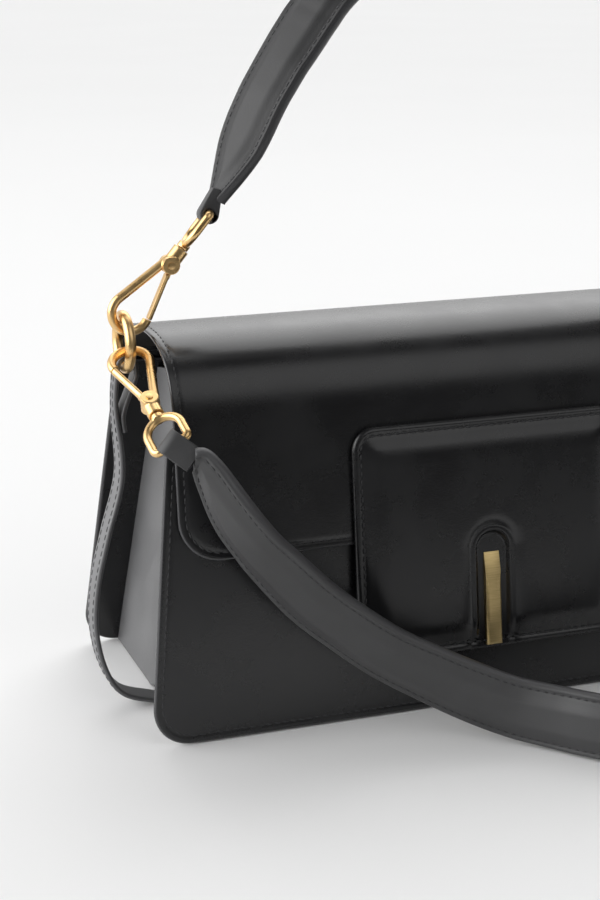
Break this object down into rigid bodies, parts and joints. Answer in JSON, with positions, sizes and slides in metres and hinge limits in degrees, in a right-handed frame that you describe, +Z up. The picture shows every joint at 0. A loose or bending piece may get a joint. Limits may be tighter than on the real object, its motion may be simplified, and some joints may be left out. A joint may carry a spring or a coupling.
{
  "type": "baguette bag",
  "caption": "Flap shoulder bag in black leather with a padded tab closure, a carrying band with rings at both ends, a short handle and a longer strap, each clipped on with swivel snap hooks",
  "frame": {"origin": "on the floor, midway between the sides, in the plane of the two rings, on the underside of the carrying band", "axes": "X to the right seen from the front, Y from front to back, Z up"},
  "size_m": [0.2926, 0.2073, 0.2954],
  "materials": {
    "leather": "soft satin",
    "gold": "satin",
    "steel": "brushed",
    "suede": "matte",
    "board": "matte"
  },
  "bodies": {
    "bag": {"front_panel": "leather", "back_panel": "leather", "gusset_left": "leather", "gusset_right": "leather", "base_panel": "leather", "base_board": "board", "lining_front": "suede", "lining_back": "suede", "slip_pocket": "suede", "lower_magnet": "steel", "flap_hem": "leather", "carry_band": "leather"},
    "flap": {"flap": "leather", "flap_lining": "suede", "tab_pad": "leather", "tab_backing": "leather", "upper_magnet": "steel", "bar": "gold", "bar_washers": "steel"},
    "ring_left": {"ring_left": "gold"},
    "ring_right": {"ring_right": "gold"},
    "handle": {"handle_strap": "leather", "handle_lining": "leather", "handle_loop_left": "leather", "handle_eye_left": "gold", "handle_loop_right": "leather", "handle_eye_right": "gold"},
    "handle_hook_left": {"handle_hook_left": "gold", "handle_screw_left": "gold"},
    "handle_gate_left": {"handle_gate_left": "gold"},
    "handle_hook_right": {"handle_hook_right": "gold", "handle_screw_right": "gold"},
    "handle_gate_right": {"handle_gate_right": "gold"},
    "shoulder": {"shoulder_strap": "leather", "shoulder_lining": "leather", "shoulder_loop_left": "leather", "shoulder_eye_left": "gold", "shoulder_loop_right": "leather", "shoulder_eye_right": "gold"},
    "shoulder_hook_left": {"shoulder_hook_left": "gold", "shoulder_screw_left": "gold"},
    "shoulder_gate_left": {"shoulder_gate_left": "gold"},
    "shoulder_hook_right": {"shoulder_hook_right": "gold", "shoulder_screw_right": "gold"},
    "shoulder_gate_right": {"shoulder_gate_right": "gold"}
  },
  "joints": [
    {"name": "flap_hinge", "type": "hinge", "parent": "bag", "child": "flap", "pos_m": [0, 0.04804, 0.12706], "axis": [-1, 0, 0], "range_deg": [0, 150], "deforming": ["flap", "flap_lining", "shoulder_strap", "shoulder_lining"]},
    {"name": "ring_left_turn", "type": "hinge", "parent": "bag", "child": "ring_left", "pos_m": [-0.1305, 0, 0.14261], "axis": [1, 0, 0], "continuous": true},
    {"name": "ring_right_turn", "type": "hinge", "parent": "bag", "child": "ring_right", "pos_m": [0.1305, 0, 0.14261], "axis": [1, 0, 0], "continuous": true},
    {"name": "handle_swing", "type": "hinge", "parent": "bag", "child": "handle", "pos_m": [0, 0, 0.14261], "axis": [1, 0, 0], "range_deg": [-40, 40]},
    {"name": "shoulder_lift", "type": "hinge", "parent": "bag", "child": "shoulder", "pos_m": [0, 0, 0.14261], "axis": [1, 0, 0], "range_deg": [-60, 0]},
    {"name": "handle_swivel_left", "type": "hinge", "parent": "handle", "child": "handle_hook_left", "pos_m": [-0.10956, 0, 0.17383], "axis": [0.6428, 0, 0.766], "range_deg": [-15, 15]},
    {"name": "handle_gate_spring_left", "type": "hinge", "parent": "handle_hook_left", "child": "handle_gate_left", "pos_m": [-0.11278, 0, 0.17], "axis": [0, 1, 0], "range_deg": [0, 18], "stiffness_Nm_per_rad": 0.02, "springref_deg": -20.05},
    {"name": "handle_swivel_right", "type": "hinge", "parent": "handle", "child": "handle_hook_right", "pos_m": [0.10956, 0, 0.17383], "axis": [-0.6428, 0, 0.766], "range_deg": [-15, 15]},
    {"name": "handle_gate_spring_right", "type": "hinge", "parent": "handle_hook_right", "child": "handle_gate_right", "pos_m": [0.11278, 0, 0.17], "axis": [0, -1, 0], "range_deg": [0, 18], "stiffness_Nm_per_rad": 0.02, "springref_deg": -20.05},
    {"name": "shoulder_swivel_left", "type": "hinge", "parent": "shoulder", "child": "shoulder_hook_left", "pos_m": [-0.12924, -0.03566, 0.12501], "axis": [0.0899, -0.8957, -0.4354], "range_deg": [-15, 15]},
    {"name": "shoulder_gate_spring_left", "type": "hinge", "parent": "shoulder_hook_left", "child": "shoulder_gate_left", "pos_m": [-0.12969, -0.03119, 0.12719], "axis": [0.1627, 0.4445, -0.8809], "range_deg": [0, 18], "stiffness_Nm_per_rad": 0.02, "springref_deg": -20.05},
    {"name": "shoulder_swivel_right", "type": "hinge", "parent": "shoulder", "child": "shoulder_hook_right", "pos_m": [0.12924, -0.03566, 0.12501], "axis": [-0.0899, -0.8957, -0.4354], "range_deg": [-15, 15]},
    {"name": "shoulder_gate_spring_right", "type": "hinge", "parent": "shoulder_hook_right", "child": "shoulder_gate_right", "pos_m": [0.12969, -0.03119, 0.12719], "axis": [0.1627, -0.4445, 0.8809], "range_deg": [0, 18], "stiffness_Nm_per_rad": 0.02, "springref_deg": -20.05}
  ]
}
